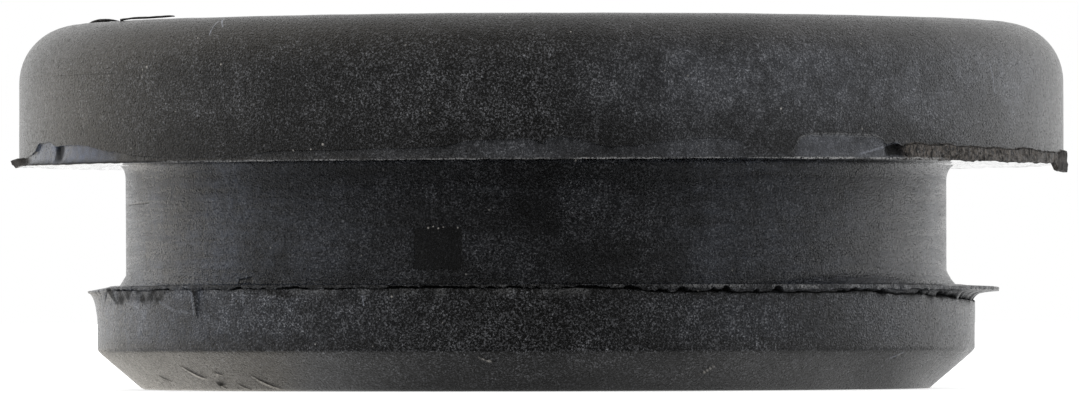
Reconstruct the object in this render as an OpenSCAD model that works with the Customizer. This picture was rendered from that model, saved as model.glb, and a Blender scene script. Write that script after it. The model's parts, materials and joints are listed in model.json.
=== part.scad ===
// Rubber grommet for a round hole in sheet metal, moulded in one piece.
// A wide rounded head covers the hole's rim, a groove takes the sheet's edge, and
// a collar with a tapered foot is pushed through the hole and snaps out behind it.
// Origin: on the bore's axis, in the plane of the foot's flat face. +Z is up,
// through the head. Angles turn from +X towards +Y. Sizes are in millimetres.

/* [Hole] */
// Diameter of the hole in the sheet
hole_d = 31.75; // [25:0.05:45]
// How much wider the groove's floor is than the hole
hole_squeeze = 0.05; // [0:0.05:1]
// Width of the groove between head and collar, which takes the sheet's thickness
groove_h = 4.65; // [1:0.05:8]
// Radius in the groove's two inner corners
groove_fillet = 0.4; // [0.1:0.05:0.45]

/* [Head] */
// How far the head stands out past the groove's floor
head_lip = 4.35; // [2:0.05:8]
// Height of the head, from the groove to its flat top
head_h = 5.45; // [4:0.05:9]
// Radius of the head's rounded upper edge
head_round = 2.25; // [0.5:0.05:3]
// Sideways step of the head along +X, where the mould's two halves didn't quite meet
mould_step = 0.2; // [0.05:0.05:0.4]

/* [Collar and foot] */
// How far the collar stands out past the groove's floor
collar_lip = 1.1; // [0.6:0.05:3]
// Height of the collar's straight side
collar_side_h = 2.5; // [1:0.05:6]
// Height of the tapered foot
taper_h = 1.5; // [0.5:0.05:4]
// How far the foot's side tapers in
taper_in = 1.75; // [0.5:0.05:3]

/* [Bore] */
// Diameter of the bore, which grips a pipe or a cable's sleeve
bore_d = 19; // [10:0.5:23]
// Chamfer of the bore's two mouths
bore_chamfer = 0.5; // [0.1:0.05:1]

/* [Moulding flash] */
// Thickness of the flash at the collar's upper edge
flash_t = 0.15; // [0.1:0.05:0.3]
// How far that flash stands out all round
flash_out = 0.1; // [0.05:0.05:0.3]
// How far its crescent on the +X side stands out
flash_out_right = 0.93; // [0.3:0.01:1.5]
// How far its crescent on the -X side stands out
flash_out_left = 0.36; // [0.2:0.01:1.5]
// How much smaller a crescent's disc is than the collar: more makes it shorter
crescent_cut = 0.4; // [0.2:0.05:1]
// Height of the rough strip left on the head's lower edge
strip_h = 0.45; // [0.2:0.05:1]
// How far that strip stands out
strip_out = 0.1; // [0.05:0.05:0.3]
// How far the lump at its end stands out
lump_out = 0.12; // [0.05:0.01:0.3]
// How far that lump hangs down into the groove
lump_drop = 0.25; // [0.1:0.01:0.25]
// How far the thin tag on the head's -X side stands out
tag_out = 0.26; // [0.1:0.01:0.6]
// Height of the two slivers that stand on the head's flat top
sliver_h = 0.2; // [0.1:0.02:0.6]

/* [Hidden] */
groove_r = (hole_d + hole_squeeze) / 2;
head_r = groove_r + head_lip;
collar_r = groove_r + collar_lip;
foot_r = collar_r - taper_in;
bore_r = bore_d / 2;
collar_h = taper_h + collar_side_h;
head_z = collar_h + groove_h;
total_h = head_z + head_h;
tag_h = 2 * flash_t;
lump_top = strip_h + 0.05;
// How deep each piece of flash is rooted in the rubber behind it. The lump goes
// deeper than the strip beside it, so that their backs never lie on one surface.
flash_root = 0.4;
lump_root = 1.5 * flash_root;
// Where each strip of flash runs along the head's lower edge, in degrees
strip_arc = [-48, -14];
lump_arc = [-16, 2];
tag_arc = [180, 196];
// Length of each sliver on the top, and its place just inside the flat's rim, in degrees
sliver_len = [1.1, 2.1];
sliver_at = [197, 211.5];
sliver_inset = 0.5;
cut = 1;
$fn = 180;

// The head's half section, with a quarter round on its upper outer edge
module head_section() {
    square([head_r, head_h - head_round]);
    square([head_r - head_round, head_h]);
    translate([head_r - head_round, head_h - head_round]) circle(r = head_round);
}

// A concave fillet for an inner corner at the origin, between +X and +Y
module fillet_section(r) {
    difference() {
        square(r);
        translate([r, r]) circle(r = r);
    }
}

// The half section of the foot, the collar and the neck that runs up into the head
module body_section() {
    polygon([[0, 0], [foot_r, 0], [collar_r, taper_h], [collar_r, collar_h], [0, collar_h]]);
    square([groove_r, head_z + head_h / 2]);
    translate([groove_r, collar_h]) fillet_section(groove_fillet);
    translate([groove_r, head_z]) mirror([0, 1]) fillet_section(groove_fillet);
}

module head() {
    translate([mould_step, 0, head_z]) rotate_extrude() head_section();
}

module body() {
    rotate_extrude() body_section();
}

module bore() {
    translate([0, 0, -cut]) cylinder(r = bore_r, h = total_h + 2 * cut);
    for (end = [0, 1])
        translate([0, 0, end * total_h]) mirror([0, 0, end]) translate([0, 0, -cut])
            cylinder(r1 = bore_r + bore_chamfer + cut, r2 = bore_r, h = bore_chamfer + cut);
}

// A thin disc on the collar's upper edge. Set off towards one side by more than it
// is smaller, it shows as a crescent.
module flash_disc(r, offset_x) {
    translate([offset_x, 0, collar_h - flash_t]) cylinder(r = r, h = flash_t);
}

module collar_flash() {
    flash_disc(collar_r + flash_out, 0);
    flash_disc(collar_r - crescent_cut, flash_out_right + crescent_cut);
    flash_disc(collar_r - crescent_cut, -flash_out_left - crescent_cut);
}

// A strip of flash on the head's lower edge, over an arc, rooted to a depth, between
// two heights measured from that edge
module edge_strip(arc, root, out, low, high) {
    translate([mould_step, 0, head_z]) rotate([0, 0, arc[0]])
        rotate_extrude(angle = arc[1] - arc[0])
            translate([head_r - root, low]) square([root + out, high - low]);
}

// A sliver on the flat top, along X: the cap of a thin disc that stands on edge
module top_sliver(angle, length) {
    disc_r = (length * length / 4 + sliver_h * sliver_h) / (2 * sliver_h);
    at_r = head_r - head_round - sliver_inset;
    translate([mould_step + at_r * cos(angle), at_r * sin(angle), total_h]) intersection() {
        translate([0, 0, sliver_h - disc_r])
            rotate([90, 0, 0]) cylinder(r = disc_r, h = flash_t, center = true);
        translate([-length, -flash_t, -flash_root])
            cube([2 * length, 2 * flash_t, flash_root + 2 * sliver_h]);
    }
}

module head_flash() {
    edge_strip(strip_arc, flash_root, strip_out, 0, strip_h);
    edge_strip(lump_arc, lump_root, lump_out, -lump_drop, lump_top);
    edge_strip(tag_arc, flash_root, tag_out, 0, tag_h);
    for (i = [0 : len(sliver_at) - 1]) top_sliver(sliver_at[i], sliver_len[i]);
}

module grommet() {
    color("#1f1f21") difference() {
        union() {
            head();
            body();
            collar_flash();
            head_flash();
        }
        bore();
    }
}

grommet();
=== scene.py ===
"""Looks of a black rubber grommet: one moulded ring with its flash, on a plain pale floor.

The ring is one closed mesh, swept round the bore's axis from a half section whose points
move with the angle, so that tears, fins and cracks are real shapes. Dents and nicks then
push its skin in. Angles run from the front (-Y) towards the right (+X), in degrees. Lengths
are in millimetres until the mesh is written in metres.
"""

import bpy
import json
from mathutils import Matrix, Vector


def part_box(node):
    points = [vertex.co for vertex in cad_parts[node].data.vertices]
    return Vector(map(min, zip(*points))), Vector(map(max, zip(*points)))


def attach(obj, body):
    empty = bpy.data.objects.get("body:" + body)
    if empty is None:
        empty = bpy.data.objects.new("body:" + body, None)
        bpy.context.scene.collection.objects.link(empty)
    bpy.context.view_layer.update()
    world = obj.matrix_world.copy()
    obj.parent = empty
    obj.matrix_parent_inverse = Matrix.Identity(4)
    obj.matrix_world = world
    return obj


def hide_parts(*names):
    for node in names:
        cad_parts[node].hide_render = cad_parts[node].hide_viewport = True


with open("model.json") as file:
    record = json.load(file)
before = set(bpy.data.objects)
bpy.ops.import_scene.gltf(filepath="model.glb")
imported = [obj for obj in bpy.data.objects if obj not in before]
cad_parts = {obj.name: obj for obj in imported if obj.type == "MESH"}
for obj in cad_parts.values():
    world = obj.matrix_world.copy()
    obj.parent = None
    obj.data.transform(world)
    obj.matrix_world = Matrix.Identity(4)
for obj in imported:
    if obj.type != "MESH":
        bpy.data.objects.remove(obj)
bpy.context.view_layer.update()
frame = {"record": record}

import itertools
import json
import math

import bmesh
import bpy
import numpy as np
from mathutils import Euler

# ---- sizes from the frame
MM = 0.001
bore_mount = next(m for m in frame["record"]["mounts"] if m["name"] == "bore")
BORE_R = bore_mount["dims"]["r_mm"]
TOTAL_H = 2 * bore_mount["pos_m"][2] / MM
MOUTH = (TOTAL_H - bore_mount["dims"]["length_mm"]) / 2
box_low, box_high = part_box("grommet")
HEAD_R = (box_high.y - box_low.y) / 2 / MM
HEAD_SHIFT = 0.2
HEAD_H = 5.45
HEAD_LIP = 4.35
HEAD_ROUND = 2.25
GROOVE_H = 4.65
COLLAR_LIP = 1.1
TAPER_H = 1.5
TAPER_IN = 1.75
HEAD_Z = TOTAL_H - HEAD_H
COLLAR_Z = HEAD_Z - GROOVE_H
GROOVE_R = HEAD_R - HEAD_LIP
COLLAR_R = GROOVE_R + COLLAR_LIP
FOOT_R = COLLAR_R - TAPER_IN

# ---- the sweep's angles
COARSE = 360
FINE = 3 * COARSE
CROWDING = 0.55


def ring_angles(count):
    """Angles round the ring, closer together at the front and wider apart at the back."""
    even = np.arange(count) / count * 2 * np.pi - np.pi
    return np.degrees(even - CROWDING * np.sin(even))


FINE_ANGLES = ring_angles(FINE)
COARSE_ANGLES = FINE_ANGLES[::3]


# ---- noise and windows
def lattice_value(cell, seed):
    """A fixed number from -1 to 1 for each whole-number point."""
    x, y, z = (cell[:, i].astype(np.uint32) for i in range(3))
    h = x * np.uint32(73856093) ^ y * np.uint32(19349663) ^ z * np.uint32(83492791)
    h = h ^ np.uint32(seed * 7919 + 17)
    for shift, factor in ((16, 0x7FEB352D), (15, 0x846CA68B)):
        h = (h ^ (h >> np.uint32(shift))) * np.uint32(factor)
    h = h ^ (h >> np.uint32(16))
    return h.astype(float) / 2**31 - 1


def noise(points, size, seed, octaves=2):
    """Smooth noise from about -1 to 1 at points, with features of that size in millimetres."""
    total, weight_sum = np.zeros(len(points)), 0.0
    for octave in range(octaves):
        place = points / size * 2**octave + 100.0
        cell = np.floor(place).astype(np.int64)
        part = place - cell
        part = part * part * (3 - 2 * part)
        value = np.zeros(len(points))
        for corner in itertools.product((0, 1), repeat=3):
            weight = np.prod(np.where(corner, part, 1 - part), axis=1)
            value += weight * lattice_value(cell + corner, seed + octave)
        total += value * 0.5**octave
        weight_sum += 0.5**octave
    return total / weight_sum * 1.6


def ring_noise(size, seed, octaves=2):
    """Noise at the fine angles of a ring of the head's radius, which closes on itself."""
    turn = np.radians(FINE_ANGLES)
    ring = (HEAD_R * np.sin(turn), HEAD_R * np.cos(turn), np.zeros(FINE))
    return noise(np.column_stack(ring), size, seed, octaves)


def along(points, angles=FINE_ANGLES):
    """A value at each angle, in straight stretches through chosen (angle, value) points."""
    where, values = zip(*points)
    return np.interp(angles, where, values, period=360)


def window(values, start, end, soft=0.6):
    """1 from start to end, 0 outside, with soft sides."""
    rise = np.clip((values - start) / soft + 0.5, 0, 1)
    fall = np.clip((end - values) / soft + 0.5, 0, 1)
    both = rise * fall
    return both * both * (3 - 2 * both)


def span(start, end, soft=0.6, angles=FINE_ANGLES):
    """1 at the angles from start to end, 0 at the others, with soft ends."""
    return window(angles, start, end, soft)


# ---- the half section's rows
# Marks on each point: torn faces, rough flash, dirty marks with painted shade in cracks, crevices and
# cuts, and pale marks that are mostly painted highlights on edges and painted light in cuts
MARKS = ("torn", "rough", "dirt", "pale")


class Section:
    """The rows of points that the mesh is skinned over, in order round the half section."""

    def __init__(self):
        self.rows = []

    def add(self, radius, height, shift=0.0, fine=False, **marks):
        """Adds a row. Each value is one number, or an array with one for each angle."""
        angles = FINE_ANGLES if fine else COARSE_ANGLES
        values = [radius, height, shift] + [marks.get(mark, 0.0) for mark in MARKS]
        self.rows.append((angles, *[np.broadcast_to(v, angles.shape) for v in values]))


# How much smaller and lower the head is than a true turned shape, by angle
HEAD_WORN = [(-180, 0.0), (-125, 0.01), (-90, 0.035), (-60, 0.03), (-30, 0.01), (0, 0.0)]
TOP_LOWER = [(-180, 0.02), (-90, 0.035), (0, 0.01), (90, 0.0)]


def add_top(section):
    """The flat top, from the bore's mouth to the head's rounded edge, and the head's side."""
    flat_r = HEAD_R - HEAD_ROUND
    worn = along(HEAD_WORN, COARSE_ANGLES)
    lower = along(TOP_LOWER, COARSE_ANGLES)
    inner = BORE_R + MOUTH
    section.add(inner - 0.05, TOTAL_H - 0.05)
    section.add(inner + 0.02, TOTAL_H - 0.01, 0.02)
    for share in (0.03, 0.12, 0.28, 0.46, 0.64, 0.82, 0.94):
        section.add(inner + share * (flat_r - inner), TOTAL_H - share * lower, HEAD_SHIFT * share)
    for turn in np.radians(np.linspace(0, 90, 14)):
        radius = flat_r + (HEAD_ROUND - worn) * math.sin(turn)
        height = TOTAL_H - lower * math.cos(turn) - HEAD_ROUND * (1 - math.cos(turn))
        section.add(radius, height, HEAD_SHIFT)
    for share in (0.3, 0.65, 1.0):
        drop = share * (TOTAL_H - HEAD_ROUND - HEAD_Z - 1.45)
        section.add(HEAD_R - worn, TOTAL_H - HEAD_ROUND - drop, HEAD_SHIFT)


# Height of the torn line above the head's lower edge
TEAR_TOP = [
    (-150, 0.15), (-130, 0.3), (-110, 0.22), (-92, 0.3), (-76.9, 0.28), (-74.75, 0.35), (-72.9, 0.53),
    (-72.1, 0.7), (-71.3, 0.775), (-69.8, 0.81), (-67.8, 0.806), (-66.5, 0.7), (-65.9, 0.62),
    (-64.3, 0.65), (-62.7, 0.66), (-60.7, 0.65), (-58.5, 0.62), (-57.2, 0.57), (-55.7, 0.47),
    (-54, 0.4), (-52.3, 0.36), (-50.5, 0.28), (-48, 0.19), (-46, 0.15), (-43.2, 0.12), (-34, 0.12),
    (-30, 0.3), (-21.6, 0.35), (-15, 0.38), (-10.65, 0.435), (-8.5, 0.616), (-5.4, 0.7), (-1.2, 0.72),
    (-0.6, 0.68), (-0.1, 0.62), (0.15, 0.5), (0.37, 0.7), (1.9, 0.77), (3.6, 0.73), (5.1, 0.6),
    (6.5, 0.456), (7.4, 0.38), (8.76, 0.456), (10.35, 0.475), (12.7, 0.586), (14.6, 0.66),
    (16.8, 0.737), (19, 0.758), (20.5, 0.72), (21.8, 0.6), (22.5, 0.3), (24, 0.18), (27.3, 0.18),
    (27.9, 0.475), (28.3, 0.736), (29, 0.83), (30.1, 0.9), (35.3, 0.9), (37.5, 0.86), (38.9, 0.76),
    (39.6, 0.58), (40.7, 0.62), (41.2, 0.58), (41.7, 0.5), (42.0, 0.5), (42.4, 0.58), (43.6, 0.62),
    (45.9, 0.56), (48.3, 0.6), (50.5, 0.52), (52.7, 0.52), (55.6, 0.5), (58.8, 0.5), (61, 0.47),
    (66.4, 0.493), (68.9, 0.466), (71.5, 0.4), (78, 0.38), (79.5, 0.42), (81, 0.5), (91, 0.52),
    (93, 0.25), (104, 0.2), (125, 0.3), (140, 0.2), (150, 0.15),
]
# How deep the torn face is set back from the side. Below 0 it stands out as rough flash.
TEAR_DEPTH = [
    (-150, 0.02), (-125, 0.05), (-105, 0.02), (-76.8, 0.0), (-73, 0.1), (-68, 0.12), (-62, 0.13),
    (-57, 0.1), (-50, 0.05), (-43, 0.01), (-34, 0.01), (-30, 0.05), (-15, 0.06), (-1, 0.09),
    (0.15, 0.12), (0.4, 0.08), (5, 0.07), (7, 0.04), (12, 0.06), (20, 0.07), (22.3, 0.01),
    (27.4, 0.01), (28.2, 0.05), (39.4, 0.05), (39.9, 0.3), (40.8, 0.34), (41.8, 0.32), (42.4, -0.07),
    (50, -0.1), (62, -0.08), (79, -0.09), (80, -0.07), (81, -0.12), (91, -0.12), (93, 0.0),
    (125, 0.05), (150, 0.02),
]
# The crack between the two torn faces on the left: its angle at the top and at the bottom,
# and how much deeper than those faces it is, by degrees from its middle
CRACK_TOP, CRACK_LOW = -66.4, -64.7
CRACK = (-66.6, -64.6)
CRACK_DEEPER = [(-0.45, 0.0), (-0.2, 0.14), (0.1, 0.16), (0.35, 0.08), (2.4, 0.03), (4, 0.0)]
# First and last angle of what lies along the head's lower edge
STRIP = (42, 92)  # the rough strip of flash
LUMP = (77, 92)  # the lump at its end
NOTCH = (39.8, 42.1)  # the dark notch at its start
CREST = (27.5, 39.5)  # the pale crest over the torn face on the right, a painted highlight
RIDGE = (37.2, 39.3)  # the ridge at the crest's end
PALE_LINE = (-45, 48.5)  # the painted highlight along the edge, a pale line
DARK_LINE = (-76, -43)  # the dark line along the edge
TAG = (-103, -77.5)  # the tag on the left
# How far the flash on the head's lower edge stands out at its top and, as a share, at its
# bottom, its thickness, and how far it hangs down
EDGE_OUT = [
    (-103, 0.03), (-101, 0.28), (-90, 0.34), (-79, 0.3), (-77, 0.05), (-74, 0.02), (40, 0.02),
    (42.5, 0.09), (79, 0.08), (80, 0.07), (81, 0.14), (91, 0.14), (93, 0.03), (140, 0.05),
    (-140, 0.04),
]
EDGE_LOW_SHARE = [(-103, 1.0), (-100, 0.5), (-78, 0.5), (-76, 1.0), (180, 1.0)]
EDGE_THICK = [
    (-103, 0.06), (-101, 0.28), (-79, 0.29), (-77, 0.06), (26, 0.05), (28, 0.085), (40, 0.085),
    (43, 0.1), (76.8, 0.12), (77.4, 0.28), (90.5, 0.28), (92.5, 0.06),
]
EDGE_DROP = [
    (-98, 0.0), (-90, 0.02), (-79, 0.03), (-65, 0.06), (-20, 0.06), (0, 0.035), (20, 0.0),
    (76.7, 0.0), (77.1, 0.18), (77.6, 0.29), (79, 0.31), (82, 0.29), (90, 0.28), (92, 0.0),
]


def torn_depth(share):
    """Depth of the torn face, at a share of its height: 1 at the top, 0 at the bottom."""
    crack = CRACK_LOW + share * (CRACK_TOP - CRACK_LOW)
    beside, deeper = zip(*CRACK_DEEPER)
    return along(TEAR_DEPTH) + np.interp(FINE_ANGLES - crack, beside, deeper)


def edge_thick():
    """Thickness of the flash on the head's lower edge."""
    return along(EDGE_THICK) + 0.015 * ring_noise(0.3, 6)


def soiled_flash():
    """How dirty the lump and the tag are."""
    return 0.6 * (span(*LUMP) + span(TAG[0], TAG[1] + 1, 1))


def head_rows(section):
    """A function that adds fine rows: how far out of the head's side, how high, and marks."""
    side = HEAD_R - along(HEAD_WORN)

    def add_row(reach, height, **marks):
        section.add(side + reach, HEAD_Z + height, HEAD_SHIFT, fine=True, **marks)
    return add_row


def add_torn_face(section):
    """The torn line above the head's lower edge, and the torn face down to the flash."""
    rough = span(*STRIP)
    crest = 0.5 * span(*CREST, 2)
    ridge = 0.04 * span(*RIDGE, 0.8)
    folds = 0.05 * rough * ring_noise(0.32, 7)
    thick = edge_thick()
    top = along(TEAR_TOP) + 0.022 * ring_noise(0.4, 1)
    top = np.maximum(top + 0.025 * rough * ring_noise(0.3, 2), 0.1)
    depth = torn_depth(1.0)
    torn = np.clip(depth / 0.05, 0, 1)
    # Painted shade in the notch and the crack, and dirty marks on the lump and the tag
    dark = soiled_flash() + span(*NOTCH, 0.3) + 0.9 * span(*CRACK, 0.5)
    add_row = head_rows(section)
    for rise in (0.36, 0.2, 0.09):
        add_row(0.0, top + rise)
    # The crest's pale marks are a painted highlight
    add_row(0.3 * ridge, top + 0.04, pale=0.4 * crest)
    add_row(0.008 * torn + ridge, top + 0.012, torn=0.3 * torn, rough=rough, pale=crest)
    marks = {"torn": torn, "rough": rough}
    add_row(-0.9 * depth, top - 0.015, pale=0.7 * crest, dirt=np.maximum(rough, dark), **marks)
    for share in (0.9, 0.72, 0.54, 0.38, 0.22):
        depth = torn_depth(share)
        depth = np.where(depth > 0, depth * share**0.6, depth)
        height = thick + share * (top - 0.02 - thick)
        add_row(folds - depth, height, dirt=dark, **marks)


def add_edge_flash(section):
    """The flash on the head's lower edge: its pale line of painted highlight, the strip, the lump and
    the tag.
    """
    torn = np.clip(torn_depth(1.0) / 0.05, 0, 1)
    rough = span(*STRIP)
    brown = np.maximum(rough, span(*TAG) + span(*LUMP))
    lined = soiled_flash() + 0.8 * span(*DARK_LINE, 4)
    # The pale line along the edge is a painted highlight
    pale = span(*PALE_LINE, 4) * np.clip(0.65 + 0.6 * ring_noise(0.8, 5), 0, 1)
    pale *= 1 + 1.2 * span(CREST[0] - 0.5, PALE_LINE[1], 4)
    thick = edge_thick()
    out = along(EDGE_OUT) + 0.012 * ring_noise(0.25, 3)
    low_out = out * along(EDGE_LOW_SHARE)
    drop = along(EDGE_DROP) + 0.02 * ring_noise(0.3, 4) * (0.6 + rough)
    stands = np.maximum(0.25 * out, -torn_depth(0.2))
    wide = 0.2 - 0.1 * span(LUMP[0] - 1, LUMP[1], 3)
    add_row = head_rows(section)
    add_row(stands, thick - 0.6 * drop, torn=torn, rough=brown, dirt=0.6 * lined)
    marks = {"rough": brown, "dirt": lined}
    add_row(out, 0.8 * (thick - drop), torn=0.6 * torn, pale=0.4 * pale, **marks)
    add_row(0.5 * (out + low_out), 0.35 * thick - drop, pale=pale, **marks)
    add_row(low_out - 0.012, 0.01 - drop, rough=brown, pale=pale, dirt=soiled_flash())
    add_row(low_out - 0.03, -drop, rough=brown)
    for share, level in ((0.4, 1.03), (1.0, 0.95)):
        add_row(-share * wide, -level * drop, rough=rough)
    add_row(-wide - 0.05, -0.5 * drop, rough=rough)
    add_row(-wide - 0.1, 0.0)


# The fillets in the groove's two corners: angle, and their size across and along the axis
FILLET_TOP = [(-90, 0.25, 0.5), (0, 0.3, 0.4), (90, 0.4, 0.65)]
FILLET_LOW = [
    (-110, 0.3, 0.45), (-85, 0.25, 0.4), (-70, 0.1, 0.15), (32, 0.1, 0.15), (45, 0.3, 0.5),
    (80, 0.36, 0.55), (110, 0.36, 0.55),
]
# Where the lower corner is a straight slope rather than a fillet: first and last angle
SLOPE_LEFT = (-120, -60)
SLOPE_RIGHT = (35, 120)


def add_groove(section):
    """The head's underside, the groove's floor with its two fillets, and the collar's top."""
    angles = COARSE_ANGLES
    across, top_along = (along([(f[0], f[i]) for f in FILLET_TOP], angles) for i in (1, 2))
    low_across, low_along = (along([(f[0], f[i]) for f in FILLET_LOW], angles) for i in (1, 2))
    straight = span(*SLOPE_LEFT, 20, angles) + 0.7 * span(*SLOPE_RIGHT, 20, angles)
    reach = HEAD_R - 0.5 - (GROOVE_R + across)
    for share in (1.0, 0.8, 0.55, 0.3, 0.1):
        section.add(GROOVE_R + across + share * reach, HEAD_Z, HEAD_SHIFT * share)
    for turn in np.radians(np.linspace(0, 90, 8)):
        radius = GROOVE_R + across * (1 - math.sin(turn))
        section.add(radius, HEAD_Z - top_along * (1 - math.cos(turn)))
    wall_top = HEAD_Z - top_along
    wall_low = COLLAR_Z + low_along
    for share in np.linspace(0, 1, 7)[1:]:
        section.add(GROOVE_R, wall_top + share * (wall_low - wall_top))
    for step in np.linspace(0, 1, 7)[1:]:
        turn = step * math.pi / 2
        radius = (1 - straight) * (1 - math.cos(turn)) + straight * step
        height = (1 - straight) * math.sin(turn) + straight * step
        section.add(GROOVE_R + low_across * radius, wall_low - low_along * height)
    section.add(COLLAR_R - 0.52, COLLAR_Z)


# The fin on the collar's upper edge: how far it stands out, its thickness, how far its tip
# droops, and the crevice under it: the level of its lower lip, its height and its depth
FIN_OUT = [
    (-180, 0.15), (-130, 0.12), (-112, 0.1), (-100, 0.2), (-92, 0.36), (-86, 0.36), (-80, 0.26),
    (-74, 0.13), (-68, 0.1), (-45, 0.08), (0, 0.07), (40, 0.09), (55, 0.2), (70, 0.5), (80, 0.82),
    (90, 0.93), (97, 0.9), (104, 0.7), (110, 0.35), (125, 0.2), (150, 0.12),
]
FIN_THICK = [
    (-180, 0.1), (-90, 0.06), (-74, 0.08), (-50, 0.2), (50, 0.2), (62, 0.16), (75, 0.1), (90, 0.13),
    (130, 0.1),
]
FIN_DROOP = [
    (-112, 0.02), (-92, 0.2), (-80, 0.18), (-70, 0.05), (-50, 0.0), (50, 0.0), (70, 0.06), (90, 0.11),
    (120, 0.04),
]
CREVICE_Z = [
    (-180, 3.8), (-112, 3.75), (-106, 3.0), (-78, 2.95), (-74, 3.78), (-57, 3.82), (-33, 3.83),
    (-11, 3.85), (0, 3.84), (8, 3.84), (12, 3.79), (15, 3.67), (22, 3.69), (29.5, 3.64), (47, 3.7),
    (52, 3.62), (60, 3.59), (68, 3.48), (75, 3.4), (84, 3.34), (110, 3.35), (135, 3.75),
]
CREVICE_GAP = [
    (-180, 0.06), (-112, 0.05), (-106, 0.0), (-77, 0.0), (-73, 0.06), (-50, 0.05), (0, 0.06),
    (10, 0.08), (15, 0.12), (30, 0.15), (47, 0.11), (52, 0.13), (75, 0.1), (84, 0.18), (96, 0.2),
    (110, 0.1),
]
CREVICE_DEEP = [
    (-180, 0.12), (-112, 0.1), (-106, 0.0), (-77, 0.0), (-73, 0.14), (0, 0.16), (15, 0.28),
    (75, 0.24), (84, 0.16), (96, 0.16),
]
# The fin's underside: share of the way down to the crevice, and share of its reach
FIN_UNDER = [(0.05, 0.8), (0.13, 0.58), (0.25, 0.38), (0.42, 0.2), (0.7, 0.07)]
# On the left the collar's side flares out into its fin: share of the fin's reach by height
FLARE = [(2.6, 0.0), (2.8, 0.05), (3.19, 0.2), (3.46, 0.38), (3.615, 0.57), (3.81, 1.0)]
# First and last angle of what lies along the collar's upper edge, and how soft its ends are
FLARE_SPAN = (-107, -70, 16)
OPEN_SPAN = (8, 60, 6)  # where the crevice is nowhere quite closed
WIDE_SPAN = (84, 98, 6)  # where it is at its widest, under the fin on the right
PALE_TIP = (-72, 60, 8)  # where the fin's tip is pale: a painted highlight along its edge
DULL_TIP = (-70, -8, 6)  # where it is less pale
SOOTY_TIP = (-68, 2, 6)
ROUGH_LIP = (48, 112, 4)  # the crevice's lower lip
# Where a painted shadow, mottled like soot, lies under the crevice
SHADOW_AND_SOOT_LIP = (-8, 80, 6)
PALE_LIP = (-66, 12, 6)
# Levels of the collar's side down to which the sweep stays fine
SIDE_LEVELS = (3.25, 3.1, 2.95, 2.8)


class CollarEdge:
    """The lines of the collar's upper edge, with their unevenness."""

    def __init__(self, section):
        self.section = section
        broken = np.clip(0.75 + 1.7 * ring_noise(0.4, 16, 3), 0.08, 1.8)
        broken = np.maximum(broken, 0.4 * span(*OPEN_SPAN))
        broken += (1 - broken) * span(*WIDE_SPAN)
        self.ragged = ring_noise(0.35, 11, 3)
        self.out = along(FIN_OUT) * (1 + 0.05 * self.ragged) + 0.02 * ring_noise(0.2, 12)
        self.droop = along(FIN_DROOP) + 0.012 * ring_noise(0.5, 13, 3)
        self.low = along(CREVICE_Z) + 0.035 * ring_noise(0.6, 14, 4)
        self.gap = along(CREVICE_GAP) * broken
        self.deep = along(CREVICE_DEEP) * np.minimum(broken, 1.2)
        self.tip = COLLAR_Z - self.droop
        thick = along(FIN_THICK) * (1 + 0.25 * self.ragged)
        self.thick = np.minimum(thick, 0.9 * (self.tip - self.low - self.gap))
        self.flared = span(*FLARE_SPAN)

    def top(self, reach, height, **marks):
        """A fine row on the ledge or the fin, a little way out from the collar's side."""
        self.section.add(COLLAR_R + reach, height, fine=True, **marks)

    def side(self, reach, height, **marks):
        """A fine row on the collar's side, moved out where the side flares into its fin."""
        flare = self.out * np.interp(height, *zip(*FLARE))
        self.top(reach + self.flared * (flare - reach), height, **marks)


def add_fin(edge):
    """The ledge on top of the collar and the fin at its edge."""
    pale = np.clip(0.2 + 0.8 * ring_noise(0.6, 17, 3), 0, 1) * span(*PALE_TIP)
    pale = pale * (1 - 0.7 * span(*DULL_TIP))
    soot = 0.4 * span(*SOOTY_TIP)
    uneven = 0.008 * edge.ragged
    edge.top(-0.4, COLLAR_Z - 0.2 * edge.droop)
    edge.top(-0.14, COLLAR_Z - 0.55 * edge.droop + uneven)
    edge.top(0.45 * edge.out, COLLAR_Z - 0.85 * edge.droop + uneven)
    edge.top(edge.out - 0.015, edge.tip, pale=0.3 * pale, dirt=soot)
    edge.top(edge.out + 0.004, edge.tip - 0.3 * edge.thick, pale=0.8 * pale, dirt=soot)
    edge.top(edge.out - 0.012, edge.tip - edge.thick, dirt=soot)


def add_crevice(edge):
    """The fin's underside, the crevice below it, and the collar's side down to its middle."""
    low, gap, deep = edge.low, edge.gap, edge.deep
    rough = span(*ROUGH_LIP)
    # Painted shade in the crevice, as far as it is open
    dark = np.clip(gap / 0.03, 0, 1)
    # A painted shadow under the crevice, mottled like soot
    shadow_and_soot = np.clip(0.35 + 0.9 * ring_noise(0.5, 19, 3), 0, 0.85) * span(*SHADOW_AND_SOOT_LIP)
    bloom = np.clip(0.15 + 1.1 * ring_noise(0.7, 18, 3), 0, 0.8) * span(*PALE_LIP)
    fin_low = edge.tip - edge.thick
    for share, reach in FIN_UNDER:
        height = fin_low - share * (fin_low - low - gap)
        edge.side(edge.out * reach, height, dirt=0.5 * share * dark)
    edge.side(-0.12 * deep, low + gap, dirt=0.8 * dark)
    edge.side(-deep, low + 0.5 * gap, dirt=dark)
    edge.side(-0.1 * deep, low, dirt=np.maximum(0.4 * dark, shadow_and_soot), rough=0.3 * rough)
    edge.side(0.0, low - 0.05, pale=0.35 * bloom, dirt=shadow_and_soot)
    start = low - 0.13
    edge.side(0.0, start, pale=0.25 * bloom, dirt=0.4 * shadow_and_soot)
    top, bottom = SIDE_LEVELS[0] + 0.16, SIDE_LEVELS[-1]
    for level in SIDE_LEVELS:
        edge.side(0.0, start + (top - level) / (top - bottom) * (bottom - start))


def add_collar(section):
    """The collar: its fin, the crevice below the fin, and the straight side."""
    edge = CollarEdge(section)
    add_fin(edge)
    add_crevice(edge)
    for level in (2.5, 2.2, 1.9, 1.66):
        section.add(COLLAR_R, level)


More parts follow.
